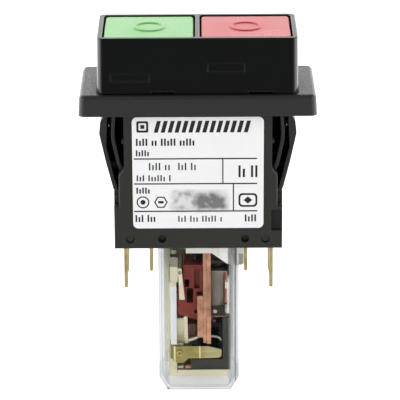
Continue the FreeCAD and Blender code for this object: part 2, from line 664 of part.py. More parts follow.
def link_hook():
    """Cream hook on the lever's foot that reaches down to the contact blade."""
    stem = front_prism([(-3.6, -52.7), (-2.75, -52.7), (-2.6, -58.6), (-0.3, -57.9), (-0.3, -58.35), (-2.55, -59.2),
                        (-2.55, -59.6, 0.2), (-3.45, -59.6, 0.2)], LEVER_FRONT - 0.8, LEVER_FRONT)
    return stem


def latch_pawl():
    """Cream pawl, broader at its foot, in front of the lever's left edge."""
    pawl = front_prism(
        [(-4.95, -40.2, 0.35), (-4.05, -40.2, 0.35), (-3.75, -44.0, 3.0), (-3.3, -48.2, 0.2), (-4.65, -48.2, 0.2),
         (-4.75, -44.2, 3.0)], -5.8, -5.1
    )
    return pawl.cut(rod_y(PAWL_X, PAWL_Z, 0.35, -7, 0))


def pawl_pin():
    """Small headed pin that carries the pawl."""
    pin = rod_y(PAWL_X, PAWL_Z, 0.3, -5.85, -0.2)
    return pin.fuse(rod_y(PAWL_X, PAWL_Z, 0.42, -6.05, -5.85)).removeSplitter()


def stop_block():
    """Brown block on the rear wall, behind the link hook."""
    body = block(-2.7, -0.7, -4.4, 6.3, -58.9, -55.0)
    return softened(body, 0.3, lambda e: lies_at_y(e, -4.4))


def lever_spring():
    """Torsion spring round the pin, between the lever and the rear wall."""
    spring = coil_spring(0, 0, 0.0, 1.0, 0.95, 0.24, 3)
    spring.rotate(V(0, 0, 0), V(1, 0, 0), -90)
    spring.translate(V(LEVER_X, LEVER_REAR + 0.05, LEVER_Z))
    return spring


def heater_strip():
    """Copper strip that carries the current beside the bimetal."""
    return block(1.05, 1.8, STRIP_Y0, STRIP_Y1, LONG_LOW, STRIP_TOP)


def long_bimetal():
    """Long bimetal strip clamped at its top."""
    return block(1.86, 2.9, STRIP_Y0, STRIP_Y1, LONG_LOW - 0.3, STRIP_TOP)


def short_bimetal():
    """Short compensating strip welded beside the heater strip."""
    strip = block(-0.35, 1.0, STRIP_Y0, STRIP_Y1, SHORT_LOW, SHORT_TOP)
    weld = block(0.9, 1.05, STRIP_Y0 + 0.3, STRIP_Y1 - 0.3, -57.2, -56.0)
    return strip.fuse(weld).removeSplitter()


# ---------------------------------------------------------------- relay: auxiliary contact
def contact_blade():
    """Brass blade on a rivet; its right part bends back and tapers to a round tip."""
    y0, y1 = -7.25, -6.9
    low, high = -62.85, -59.7
    left = front_prism([(-6.05, high), (0.3, high), (0.3, low), (-2.6, low), (-3.7, -64.0), (-6.05, -64.0)], y0, y1)
    right = front_prism([(0.2, high), (2.3, high - 0.1), (5.4, -60.75, 0.4), (5.4, low, 0.9), (0.2, low)], y0, y1)
    right.rotate(V(0.3, y1, 0), V(0, 0, 1), 5.0)
    tongue = block(-5.3, -5.15, y1 - 0.1, -3.4, -66.7, -63.75)
    blade = left.fuse([right, tongue]).removeSplitter()
    return blade.cut(rod_y(RIVET_BLADE_X, RIVET_BLADE_Z, 0.5, -9, -6))


def blade_bracket():
    """Brass angle that carries the blade on the left post."""
    low, high = -63.7, -58.9
    lug = block(-6.3, -3.7, -6.85, -6.5, low, high)
    side = block(-6.3, -5.95, -6.85, -5.0, low, high)
    foot = block(-6.9, -5.95, -5.35, -5.0, low, high)
    return lug.fuse([side, foot]).removeSplitter().cut(rod_y(RIVET_BLADE_X, RIVET_BLADE_Z, 0.45, -9, -5))


def blade_rivet():
    """Hollow rivet through the blade and its bracket."""
    rivet = rod_y(RIVET_BLADE_X, RIVET_BLADE_Z, 0.45, -7.3, -6.2).fuse(rod_y(RIVET_BLADE_X, RIVET_BLADE_Z, 0.8, -7.55, -7.3))
    rivet = rivet.fuse(rod_y(RIVET_BLADE_X, RIVET_BLADE_Z, 0.7, -6.4, -6.2)).removeSplitter()
    return rivet.cut(rod_y(RIVET_BLADE_X, RIVET_BLADE_Z, 0.22, -8, -7.0))


def aux_contacts():
    """Silver contact and copper contact that face each other on the relay's floor."""
    silver = rod((-5.15, -4.1, -66.15), (1, 0, 0), 0.72, 1.5)
    copper = rod((-3.5, -4.1, -66.15), (1, 0, 0), 0.72, 1.5)
    return silver, copper


def contact_chamber():
    """Black chamber behind the strips, open towards the front."""
    chamber = block(-0.5, 5.6, -3.6, 6.3, -64.1, -55.0)
    return chamber.cut(block(0.5, 4.8, -5, 4.8, -63.0, -56.2))


# ---------------------------------------------------------------- build
def main():
    os.makedirs(OUT, exist_ok=True)
    save("bezel_frame", bezel_frame())
    save("button_collar", button_collar())
    save("on_button", button(-1))
    save("off_button", button(1))
    save("button_guide", button_guide())
    save("on_return_spring", return_spring(-1))
    save("off_return_spring", return_spring(1))
    save("front_housing", housing_shell(-1))
    save("rear_housing", housing_shell(1))
    save("rating_label", rating_label())
    save("housing_rivets", *housing_rivets())
    save("right_snap_wing", snap_wing())
    save("left_snap_wing", mirrored(snap_wing()))
    for side, hand in ((-1, "left"), (1, "right")):
        save(f"line_tab_{hand}", main_tab(side, -1))
        save(f"load_tab_{hand}", main_tab(side, 1))
    save("terminal_base", terminal_base())
    save("coil_tabs", coil_tab(-1), coil_tab(1))
    save("contact_bridges", *contact_bridges())
    save("fixed_contacts", *fixed_contacts())
    save("moving_contacts", *moving_contacts())
    save("contact_carrier", contact_carrier())
    save("bridge_springs", *bridge_springs())
    save("carrier_spring", carrier_spring())
    save("trip_slider", trip_slider())
    save("relay_cover", relay_cover())
    save("top_bracket", top_bracket())
    save("cover_latch", cover_latch())
    save("relay_frame", relay_frame())
    save("side_spacer", side_spacer())
    save("clear_insulator", clear_insulator())
    save("head_block", head_block())
    save("adjuster_block", adjuster_block())
    save("setting_screw", setting_screw())
    save("magnet_yoke", magnet_yoke())
    save("coil_bobbin", coil_bobbin())
    save("coil_winding", coil_winding())
    save("coil_tape", coil_tape())
    save("coil_core", coil_core())
    save("start_pin", start_pin())
    save("armature", armature())
    save("armature_spring", armature_spring())
    save("trip_lever", trip_lever())
    save("lever_pin", lever_pin())
    save("link_hook", link_hook())
    save("latch_pawl", latch_pawl())
    save("pawl_pin", pawl_pin())
    save("stop_block", stop_block())
    save("lever_spring", lever_spring())
    save("heater_strip", heater_strip())
    save("long_bimetal", long_bimetal())
    save("short_bimetal", short_bimetal())
    save("contact_blade", contact_blade())
    save("blade_bracket", blade_bracket())
    save("blade_rivet", blade_rivet())
    silver, copper = aux_contacts()
    save("silver_contact", silver)
    save("copper_contact", copper)
    save("contact_chamber", contact_chamber())
    print(len(NODES), "nodes")


main()
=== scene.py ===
"""Looks of the snap-in push-button control relay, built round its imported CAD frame."""

import json
import math

import bmesh
import bpy
from mathutils import Matrix, Vector


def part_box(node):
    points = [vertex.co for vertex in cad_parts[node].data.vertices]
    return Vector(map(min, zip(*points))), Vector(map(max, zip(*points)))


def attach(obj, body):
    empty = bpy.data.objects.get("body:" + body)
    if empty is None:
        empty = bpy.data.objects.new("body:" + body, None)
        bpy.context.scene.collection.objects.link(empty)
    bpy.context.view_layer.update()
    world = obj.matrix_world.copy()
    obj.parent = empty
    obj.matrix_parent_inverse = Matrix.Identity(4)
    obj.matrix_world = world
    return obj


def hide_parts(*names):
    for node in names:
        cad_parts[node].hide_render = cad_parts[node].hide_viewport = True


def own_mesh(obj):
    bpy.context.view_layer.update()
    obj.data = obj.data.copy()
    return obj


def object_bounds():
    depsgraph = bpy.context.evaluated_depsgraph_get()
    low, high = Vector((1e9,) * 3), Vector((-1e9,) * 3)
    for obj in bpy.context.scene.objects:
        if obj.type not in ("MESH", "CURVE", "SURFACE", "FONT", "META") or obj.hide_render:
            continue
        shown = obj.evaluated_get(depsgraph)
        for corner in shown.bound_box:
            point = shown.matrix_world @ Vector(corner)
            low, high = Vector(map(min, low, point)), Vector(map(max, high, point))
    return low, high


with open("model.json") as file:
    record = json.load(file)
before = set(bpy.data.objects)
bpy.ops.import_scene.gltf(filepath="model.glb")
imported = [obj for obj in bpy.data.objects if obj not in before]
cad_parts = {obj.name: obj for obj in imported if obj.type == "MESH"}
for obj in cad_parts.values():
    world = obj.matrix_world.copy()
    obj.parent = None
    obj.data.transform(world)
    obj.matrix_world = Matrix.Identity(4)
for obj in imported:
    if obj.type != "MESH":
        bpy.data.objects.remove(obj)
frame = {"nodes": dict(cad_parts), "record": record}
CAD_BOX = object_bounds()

MM = 0.001
NODES = frame["nodes"]
scene = bpy.context.scene


# ---------------------------------------------------------------- node helpers
def srgb(r, g, b):
    """Linear colour from 0-255 display values."""
    def line(v):
        v /= 255.0
        return v / 12.92 if v <= 0.04045 else ((v + 0.055) / 1.055) ** 2.4
    return (line(r), line(g), line(b), 1.0)


def scaled(color, k):
    """The colour made lighter or darker."""
    return tuple(min(c * k, 1.0) for c in color[:3]) + (1.0,)


class Tree:
    """A material's node tree with short calls for the nodes used here."""

    def __init__(self, name):
        self.mat = bpy.data.materials.new(name)
        self.mat.use_nodes = True
        self.nt = self.mat.node_tree
        self.nt.nodes.clear()
        self.out = self.nt.nodes.new("ShaderNodeOutputMaterial")
        self.coords = self.nt.nodes.new("ShaderNodeTexCoord").outputs["Object"]

    def link(self, a, b):
        self.nt.links.new(a, b)

    def put(self, value, socket):
        """Feeds a socket from another socket or with a plain value."""
        if isinstance(value, bpy.types.NodeSocket):
            self.link(value, socket)
        else:
            socket.default_value = value

    def node(self, kind, **inputs):
        n = self.nt.nodes.new(kind)
        for key, value in inputs.items():
            self.put(value, n.inputs[key.replace("_", " ")])
        return n

    def stretched(self, x, y, z):
        """Object coordinates scaled per axis, for grain that runs one way."""
        n = self.node("ShaderNodeMapping", Vector=self.coords)
        n.inputs["Scale"].default_value = (x, y, z)
        return n.outputs["Vector"]

    def noise(self, scale, detail=3.0, rough=0.5, coords=None):
        place = coords or self.coords
        n = self.node("ShaderNodeTexNoise", Vector=place, Scale=scale, Detail=detail, Roughness=rough)
        return n.outputs["Fac"]

    def cells(self, scale):
        return self.node("ShaderNodeTexVoronoi", Vector=self.coords, Scale=scale).outputs["Distance"]

    def mapped(self, value, low, high, from_low=0.3, from_high=0.7):
        """The value's range from_low to from_high carried over to low to high, and held at its ends."""
        n = self.node("ShaderNodeMapRange", Value=value)
        n.inputs["From Min"].default_value = from_low
        n.inputs["From Max"].default_value = from_high
        n.inputs["To Min"].default_value = low
        n.inputs["To Max"].default_value = high
        return n.outputs["Result"]

    def math(self, operation, a, b):
        n = self.nt.nodes.new("ShaderNodeMath")
        n.operation = operation
        for socket, value in zip(n.inputs, (a, b)):
            self.put(value, socket)
        return n.outputs[0]

    def weighted(self, a, share, b):
        """A mean of two values, with the given share of the first."""
        return self.math("ADD", self.math("MULTIPLY", a, share), self.math("MULTIPLY", b, 1.0 - share))

    def away(self, value, middle):
        """How far the value lies from the middle, either way."""
        return self.math("ABSOLUTE", self.math("SUBTRACT", value, middle), 0.0)

    def mixed(self, fac, a, b):
        n = self.nt.nodes.new("ShaderNodeMix")
        n.data_type = "RGBA"
        for index, value in ((0, fac), (6, a), (7, b)):
            self.put(value, n.inputs[index])
        return n.outputs[2]

    def bump(self, height, strength, distance, normal=None):
        n = self.node("ShaderNodeBump", Height=height, Strength=strength, Distance=distance)
        if normal is not None:
            self.link(normal, n.inputs["Normal"])
        return n.outputs["Normal"]

    def soft_edge(self, radius):
        """Normals rounded over sharp edges."""
        n = self.nt.nodes.new("ShaderNodeBevel")
        n.samples = 4
        n.inputs["Radius"].default_value = radius
        return n.outputs["Normal"]

    def true_normal(self):
        return self.nt.nodes.new("ShaderNodeNewGeometry").outputs["Normal"]

    def facing_axis(self, axis):
        """How far a face is turned to one axis: 0 to 1."""
        split = self.node("ShaderNodeSeparateXYZ", Vector=self.true_normal())
        return self.math("ABSOLUTE", split.outputs[axis], 0.0)

    def edge_mask(self, radius, sharp=0.80, flat=0.995):
        """1 at sharp edges, 0 on flat faces."""
        n = self.nt.nodes.new("ShaderNodeVectorMath")
        n.operation = "DOT_PRODUCT"
        self.link(self.soft_edge(radius), n.inputs[0])
        self.link(self.true_normal(), n.inputs[1])
        return self.mapped(n.outputs["Value"], 1.0, 0.0, sharp, flat)

    def over_clear(self, cover, skin, tint=(1.0, 1.0, 1.0, 1.0)):
        """The skin laid with the given cover over a see-through, tinted ground."""
        mix = self.nt.nodes.new("ShaderNodeMixShader")
        self.put(cover, mix.inputs[0])
        self.link(self.node("ShaderNodeBsdfTransparent", Color=tint).outputs[0], mix.inputs[1])
        self.link(skin, mix.inputs[2])
        return mix.outputs[0]

    def done(self, shader):
        self.link(shader, self.out.inputs["Surface"])
        return self.mat


def principled(t, color, roughness, normal=None, metallic=0.0, specular=0.5):
    n = t.node("ShaderNodeBsdfPrincipled", Base_Color=color, Roughness=roughness)
    n.inputs["Metallic"].default_value = metallic
    n.inputs["Specular IOR Level"].default_value = specular
    if normal is not None:
        t.link(normal, n.inputs["Normal"])
    return n.outputs["BSDF"]


# ---------------------------------------------------------------- materials
def moulded(name, color, rough, grain=2600.0, depth=0.02, strength=0.3, spread=0.10,
            specular=0.5, edge=0.0, round_=0.12):
    """Moulded plastic: fine grain, faint mottling and uneven gloss; edge above 0 gives lighter edges, partly
    wear and partly a painted edge highlight.
    """
    t = Tree(name)
    cloud = t.noise(140.0, 4.0)
    fine = t.noise(grain, 2.0, 0.6)
    tint = t.mixed(t.mapped(cloud, 0.0, 1.0), scaled(color, 1.0 - spread), scaled(color, 1.0 + spread))
    if edge > 0.0:
        # Lighter edges: wear-like breakup, partly a painted highlight along the edges.
        edge_wear_and_highlight = t.math("MULTIPLY", t.edge_mask(0.25 * MM), t.mapped(t.noise(420.0, 3.0), 0.2, 1.0))
        tint = t.mixed(t.math("MULTIPLY", edge_wear_and_highlight, edge), tint, scaled(color, 3.0))
    gloss = t.mapped(t.weighted(cloud, 0.6, fine), rough - 0.06, rough + 0.08)
    normal = t.bump(fine, strength, depth * MM, t.soft_edge(round_ * MM))
    return t.done(principled(t, tint, gloss, normal, specular=specular))


def sparked(name, color, rough, specular=0.5):
    """Black plastic with the pebbled texture of a spark-eroded mould."""
    t = Tree(name)
    cloud = t.noise(90.0, 4.0)
    pebble = t.cells(1500.0)
    fine = t.noise(3400.0, 2.0, 0.6)
    height = t.math("ADD", t.math("MULTIPLY", pebble, 0.8), t.math("MULTIPLY", fine, 0.5))
    tint = t.mixed(t.mapped(cloud, 0.0, 1.0), scaled(color, 0.9), scaled(color, 1.12))
    # Lighter edges: a painted edge highlight, broken up like wear.
    edge_wear_and_highlight = t.math("MULTIPLY", t.edge_mask(0.3 * MM), t.mapped(t.noise(500.0, 3.0), 0.1, 1.0))
    tint = t.mixed(t.math("MULTIPLY", edge_wear_and_highlight, 0.6), tint, scaled(color, 4.5))
    gloss = t.mapped(pebble, rough - 0.06, rough + 0.08, 0.1, 0.6)
    normal = t.bump(height, 0.8, 0.045 * MM, t.soft_edge(0.3 * MM))
    return t.done(principled(t, tint, gloss, normal, specular=specular))


def glossy(name, color, rough, specular=0.5, edge_specular=0.5):
    """Polished plastic: a slight ripple from the mould, fine hazing, and edges that catch more light."""
    t = Tree(name)
    ripple = t.noise(160.0, 2.0)
    haze = t.noise(900.0, 4.0, 0.6)
    scratch = t.noise(1.0, 3.0, 0.7, t.stretched(2200.0, 160.0, 90.0))
    tint = t.mixed(t.mapped(ripple, 0.0, 1.0), scaled(color, 0.96), scaled(color, 1.05))
    gloss = t.mapped(t.weighted(haze, 0.5, scratch), rough, rough + 0.05)
    height = t.math("ADD", ripple, t.math("MULTIPLY", haze, 0.08))
    normal = t.bump(height, 0.12, 0.08 * MM, t.soft_edge(0.12 * MM))
    skin = principled(t, tint, gloss, normal)
    corner = t.mapped(t.math("MULTIPLY", t.facing_axis("X"), t.facing_axis("Y")), 0.0, 1.0, 0.08, 0.4)
    polish = t.math("MAXIMUM", corner, t.edge_mask(0.45 * MM))
    t.link(t.mapped(polish, specular, edge_specular, 0.0, 1.0), skin.node.inputs["Specular IOR Level"])
    return t.done(skin)


def metal(name, color, rough, run=(60.0, 60.0, 2600.0), spread=0.15, tarnish=None, edge=0.12):
    """Rolled or brushed metal: streaks along one way, uneven gloss and an optional tarnish."""
    t = Tree(name)
    streak = t.noise(1.0, 4.0, 0.65, t.stretched(*run))
    cloud = t.noise(380.0, 4.0, 0.6)
    tint = t.mixed(t.mapped(streak, 0.0, 1.0), scaled(color, 1.0 - spread), scaled(color, 1.0 + spread))
    if tarnish is not None:
        tint = t.mixed(t.mapped(cloud, 0.0, 0.7, 0.42, 0.72), tint, tarnish)
    gloss = t.mapped(t.weighted(streak, 0.6, cloud), rough - 0.08, rough + 0.12)
    normal = t.bump(streak, 0.22, 0.012 * MM, t.soft_edge(edge * MM))
    return t.done(principled(t, tint, gloss, normal, metallic=1.0))


def clear(name, veil, rough, low, high, thin=0.98, thick=0.8, line=0.5, edge=0.3, lined=0.5, refraction_lines=()):
    """Clear plastic: see-through when seen square on, denser at a slant, veiled along its edges, with painted
    refraction lines.

    The veil covers low to high of the wall as it turns away, and lined of it along an edge. The wall lets
    thin to thick of the light through as it turns away, and line of it along an edge and on sloping fillet
    faces, which paints dark refraction lines there. Each refraction line (axis, place, half width, light let
    through) is a painted shade line where an inner corner is seen through the wall.
    """
    t = Tree(name)
    weight = t.nt.nodes.new("ShaderNodeLayerWeight")
    weight.inputs["Blend"].default_value = 0.5
    facing = weight.outputs["Facing"]
    haze = t.noise(260.0, 4.0, 0.6)
    cover = t.math("MULTIPLY", t.mapped(facing, low, high, 0.3, 0.97), t.mapped(haze, 0.9, 1.08))
    ripple = t.bump(t.noise(90.0, 2.0), 0.08, 0.08 * MM)
    skin = principled(t, veil, t.mapped(haze, rough, rough + 0.08), ripple)
    level = t.facing_axis("Z")
    depth = t.math("MULTIPLY", t.mapped(facing, 0.0, 1.0, 0.15, 0.95), t.mapped(level, 1.0, 0.2, 0.3, 0.95))
    flow = t.noise(1.0, 2.0, 0.5, t.stretched(900.0, 900.0, 9.0))
    depth = t.math("MULTIPLY", depth, t.mapped(flow, 0.65, 1.2))
    tint = t.mixed(depth, (thin, thin, thin, 1.0), (thick, thick * 1.008, thick * 1.012, 1.0))
    # Painted refraction lines: darker and more veiled along edges and on sloping fillet faces.
    foot = t.mapped(t.math("MULTIPLY", level, t.math("SUBTRACT", 1.0, level)), 0.0, 1.0, 0.06, 0.2)
    painted_lines = t.math("MAXIMUM", t.edge_mask(edge * MM, 0.955, 0.9985), foot)
    tint = t.mixed(painted_lines, tint, (line, line, line * 1.01, 1.0))
    cover = t.math("MAXIMUM", cover, t.math("MULTIPLY", painted_lines, lined))
    # Painted shade lines where inner corners are seen through the wall.
    place = t.node("ShaderNodeSeparateXYZ", Vector=t.coords)
    for axis, spot, half, let in refraction_lines:
        near = t.mapped(t.away(place.outputs[axis], spot * MM), 1.0, 0.0, half * 0.5 * MM, half * MM)
        side_on = t.mapped(t.facing_axis(axis), 1.0, 0.0, 0.975, 0.995)
        tint = t.mixed(t.math("MULTIPLY", near, side_on), tint, (let, let, let * 1.01, 1.0))
    return t.done(t.over_clear(cover, skin, tint))


# Painted refraction lines in the cover: along the walls at its inner floor's height, and three upright lines
# in its tapered front corners
COVER_REFRACTION_LINES = (
    ("Z", -69.6, 0.16, 0.6),
    ("X", 8.85, 0.22, 0.34),
    ("X", 9.3, 0.3, 0.72),
    ("X", -9.4, 0.3, 0.75),
)
BUTTON_SKIN = dict(grain=3200.0, depth=0.008, strength=0.25, spread=0.05, round_=0.3)
BRICK_SKIN = dict(grain=1500.0, depth=0.03, strength=0.4)
# Noise scales per axis for grain that runs along one of them
ALONG_X, ALONG_Y, ALONG_Z = (70.0, 2400.0, 2400.0), (2400.0, 70.0, 2400.0), (2400.0, 2400.0, 70.0)
STRIP_GRAIN = (2600.0, 2600.0, 60.0)
PAPER_WHITE = srgb(218, 218, 219)

M = {
    "black_satin_plastic": sparked("bezel_spark", srgb(19, 19, 19), 0.42, 0.36),
    "black_gloss_plastic": glossy("collar_gloss", srgb(6, 7, 8), 0.17, 0.075, 0.42),
    "charcoal_plastic": moulded("housing_satin", srgb(33, 33, 29), 0.45, specular=0.22, edge=0.25),
    "green_plastic": moulded("button_green", srgb(88, 158, 74), 0.3, specular=0.22, **BUTTON_SKIN),
    "red_plastic": moulded("button_red", srgb(169, 52, 54), 0.3, specular=0.14, **BUTTON_SKIN),
    "label_film": moulded(
        "label_white", PAPER_WHITE, 0.45, 1800.0, 0.006, 0.2, 0.01, specular=0.3, round_=0.02
    ),
    "spring_steel": metal("spring_wire", srgb(176, 176, 174), 0.3),
    "steel": metal("bright_steel", srgb(136, 133, 122), 0.4),
    "tinned_brass": metal("tab_brass", srgb(160, 146, 101), 0.38, ALONG_Z, 0.14, srgb(122, 106, 68)),
    "brass": metal("blade_brass", srgb(164, 154, 100), 0.36, ALONG_X, 0.12, srgb(122, 112, 66), 0.03),
    "silver": metal("contact_silver", srgb(186, 186, 180), 0.35, tarnish=srgb(140, 136, 124)),
    "copper": metal("strip_copper", srgb(194, 146, 119), 0.42, STRIP_GRAIN, 0.14, srgb(132, 84, 62)),
    "copper_wire": metal("winding_copper", srgb(158, 98, 80), 0.34, (300.0, 300.0, 300.0), 0.2),
    "clear_plastic": clear(
        "cover_clear", srgb(142, 150, 157), 0.08, 0.004, 0.4,
        thin=0.985, thick=0.72, line=0.58, edge=0.3, lined=0.3, refraction_lines=COVER_REFRACTION_LINES,
    ),
    "clear_sheet": clear(
        "sheet_clear", srgb(196, 164, 152), 0.15, 0.03, 0.6,
        thin=0.97, thick=0.8, line=0.95, edge=0.2, lined=0.85,
    ),
    "white_plastic": moulded("bracket_white", srgb(238, 240, 232), 0.42, spread=0.03, round_=0.06),
    "cream_plastic": moulded("frame_cream", srgb(220, 214, 186), 0.45, spread=0.05, round_=0.08),
    "brick_plastic": moulded(
        "lever_brick", srgb(118, 44, 34), 0.42, spread=0.2, specular=0.25, edge=0.2, round_=0.08, **BRICK_SKIN
    ),
    "brown_plastic": moulded("stop_brown", srgb(98, 66, 52), 0.5, spread=0.16, specular=0.3, **BRICK_SKIN),
    "black_inner_plastic": moulded("inner_black", srgb(20, 19, 17), 0.45, spread=0.1, specular=0.15),
    "grey_tape": moulded("tape_grey", srgb(132, 130, 118), 0.4, 900.0, 0.02, 0.3, 0.06, specular=0.25),
    "dark_steel": moulded("yoke_dark", srgb(56, 57, 51), 0.5, 1100.0, 0.03, 0.5, 0.16, specular=0.3),
    "latch_grey": moulded("latch_grey", srgb(162, 161, 152), 0.4, spread=0.06),
}


def blade_finish():
    """Brass blade: grain along its length, a painted highlight along the fold line and the bent edge, and a
    paler tint beyond the fold.
    """
    t = Tree("signal_blade_brass")
    fold_x, bent_x, paler_x = 0.22, -5.55, 2.2
    x = t.node("ShaderNodeSeparateXYZ", Vector=t.coords).outputs["X"]
    streak = t.noise(1.0, 4.0, 0.65, t.stretched(90.0, 900.0, 2600.0))
    cloud = t.noise(420.0, 3.0, 0.5)
    darker_tint = t.mixed(t.mapped(streak, 0.0, 1.0), srgb(132, 122, 72), srgb(160, 150, 98))
    darker_tint = t.mixed(t.mapped(cloud, 0.0, 0.5, 0.4, 0.7), darker_tint, srgb(112, 104, 60))
    pale = t.mixed(t.mapped(streak, 0.0, 1.0), srgb(152, 143, 104), srgb(176, 168, 128))
    # Paler beyond the fold, darker before it.
    tint = t.mixed(t.mapped(x, 0.0, 1.0, 0.2 * MM, paler_x * MM), darker_tint, pale)
    # Painted highlights along the fold line and along the bent edge.
    fold_highlight = t.mapped(t.away(x, fold_x * MM), 1.0, 0.0, 0.08 * MM, 0.22 * MM)
    bent_edge_highlight = t.mapped(x, 1.0, 0.0, (bent_x - 0.2) * MM, bent_x * MM)
    tint = t.mixed(t.math("MAXIMUM", fold_highlight, bent_edge_highlight), tint, srgb(214, 204, 148))
    normal = t.bump(streak, 0.2, 0.01 * MM, t.soft_edge(0.03 * MM))
    return t.done(principled(t, tint, t.mapped(streak, 0.3, 0.46), normal, metallic=1.0))


OWN_FINISH = {
    "contact_blade": blade_finish(),
    "blade_bracket": metal(
        "bracket_brass", srgb(140, 138, 100), 0.4, ALONG_Y, 0.1, srgb(104, 104, 70), 0.03
    ),
    "housing_rivets": moulded(
        "rivet_black", srgb(26, 26, 23), 0.4, 900.0, 0.05, 0.6, 0.3, specular=0.3, round_=0.05
    ),
}
for entry in frame["record"]["subparts"]:
    mesh = NODES[entry["node"]].data
    mesh.materials.clear()
    mesh.materials.append(OWN_FINISH.get(entry["node"], M[entry["material_slot"]]))


# ---------------------------------------------------------------- mesh helpers
def add_mesh(name, bm, material, body):
    """Puts a finished bmesh in the scene, riding on a body."""
    bmesh.ops.recalc_face_normals(bm, faces=bm.faces)
    mesh = bpy.data.meshes.new(name)
    bm.to_mesh(mesh)
    bm.free()
    obj = bpy.data.objects.new(name, mesh)
    scene.collection.objects.link(obj)
    mesh.materials.append(material)
    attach(obj, body)
    return obj


def smooth(obj):
    for p in obj.data.polygons:
        p.use_smooth = True


def circle_steps(steps):
    """Angles that go once round a circle."""
    return [2 * math.pi * i / steps for i in range(steps)]


def prism(bm, corners, y0, y1):
    """A flat outline of (x, z) corners in mm, made solid between two depths."""
    front = [bm.verts.new((x * MM, y0 * MM, z * MM)) for x, z in corners]
    back = [bm.verts.new((x * MM, y1 * MM, z * MM)) for x, z in corners]
    bm.faces.new(front)
    bm.faces.new(list(reversed(back)))
    count = len(corners)
    for i in range(count):
        j = (i + 1) % count
        bm.faces.new((front[j], front[i], back[i], back[j]))


def band(bm, outer, inner, y0, y1):
    """A closed band between two outlines with the same number of corners."""
    rings = [[bm.verts.new((x * MM, y * MM, z * MM)) for x, z in line] for line, y in
             ((outer, y0), (inner, y0), (inner, y1), (outer, y1))]
    count = len(outer)
    for a in range(4):
        b = (a + 1) % 4
        for i in range(count):
            j = (i + 1) % count
            bm.faces.new((rings[a][i], rings[a][j], rings[b][j], rings[b][i]))


def loft(bm, rings):
    """A closed skin over rings that have the same number of vertices."""
    count = len(rings[0])
    for a, b in zip(rings, rings[1:]):
        for i in range(count):
            j = (i + 1) % count
            bm.faces.new((a[i], a[j], b[j], b[i]))
    bm.faces.new(rings[0])
    bm.faces.new(list(reversed(rings[-1])))


def rectangle(x0, x1, z0, z1):
    return [(x0, z0), (x1, z0), (x1, z1), (x0, z1)]


def rounded_box(x0, x1, z0, z1, r):
    """Corners of a rectangle with rounded corners."""
    steps = 4
    points = []
    centres = ((x1 - r, z1 - r), (x0 + r, z1 - r), (x0 + r, z0 + r), (x1 - r, z0 + r))
    for quarter, (cx, cz) in enumerate(centres):
        for i in range(steps + 1):
            a = math.radians(90 * quarter + 90 * i / steps)
            points.append((cx + r * math.cos(a), cz + r * math.sin(a)))
    return points


def disc(x, z, r, steps=28):
    """Corners of a circle, or of a polygon when steps is small."""
    return [(x + r * math.cos(a), z + r * math.sin(a)) for a in circle_steps(steps)]


# ---------------------------------------------------------------- label print
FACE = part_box("rating_label")[0].y / MM
INK = 0.012
RULE_HALF, UPRIGHT_HALF = 0.16, 0.14


def ink(bm, corners):
    """One printed shape on the label's face."""
    prism(bm, corners, FACE - INK, FACE)


def ink_band(bm, outer, inner):
    """A printed outline on the label's face."""
    band(bm, outer, inner, FACE - INK, FACE)


def tick_row(bm, x0, x1, z_low, height, pitch, stroke, groups):
    """A row of plain upright dashes in groups, where the real label has a line of print."""
    x, i, left, turn = x0, 0, groups[0], 0
    while x + stroke <= x1:
        tall = height if (i * 5) % 7 < 4 else height * 0.72
        ink(bm, rectangle(x, x + stroke, z_low, z_low + tall))
        x += pitch
        i += 1
        left -= 1
        if left == 0:
            turn += 1
            left = groups[turn % len(groups)]
            x += pitch * 0.9


def slant_row(bm, x0, x1, z_low, z_high, pitch, stroke, lean):
    """A row of slanting bars."""
    x = x0
    while x + stroke + lean <= x1 + 1e-6:
        ink(bm, [(x, z_low), (x + stroke, z_low), (x + stroke + lean, z_high), (x + lean, z_high)])
        x += pitch


# Each row of dashes: from x, to x, foot z, height, pitch, stroke and the dashes in each group
TICK_ROWS = (
    (-14.35, -0.75, -7.6, 1.75, 0.74, 0.42, (4, 2, 5, 7)),
    (-14.4, -10.9, -10.15, 1.5, 0.66, 0.36, (5, 3)),
    (-11.4, -6.4, -13.6, 1.8, 0.76, 0.34, (4, 2)),
    (-4.6, 0.0, -13.6, 1.8, 0.76, 0.34, (3, 3)),
    (-14.3, -6.4, -16.3, 1.5, 0.7, 0.34, (3, 6)),
    (9.4, 13.9, -15.4, 2.9, 1.0, 0.5, (2, 3)),
    (-14.4, -10.9, -19.35, 1.5, 0.68, 0.38, (5, 3)),
    (-14.7, -9.4, -26.4, 1.75, 0.72, 0.38, (3, 5)),
    (-4.7, 5.8, -26.4, 1.5, 0.72, 0.32, (3, 3, 5)),
    (10.9, 13.9, -26.4, 1.75, 0.74, 0.38, (5, 3)),
)
RULE_HIGH, RULE_MID, RULE_LOW = -10.8, -16.95, -23.75
MARK_Z = -21.5
DIAMOND_X, DIAMOND_Z = 11.6, -21.05


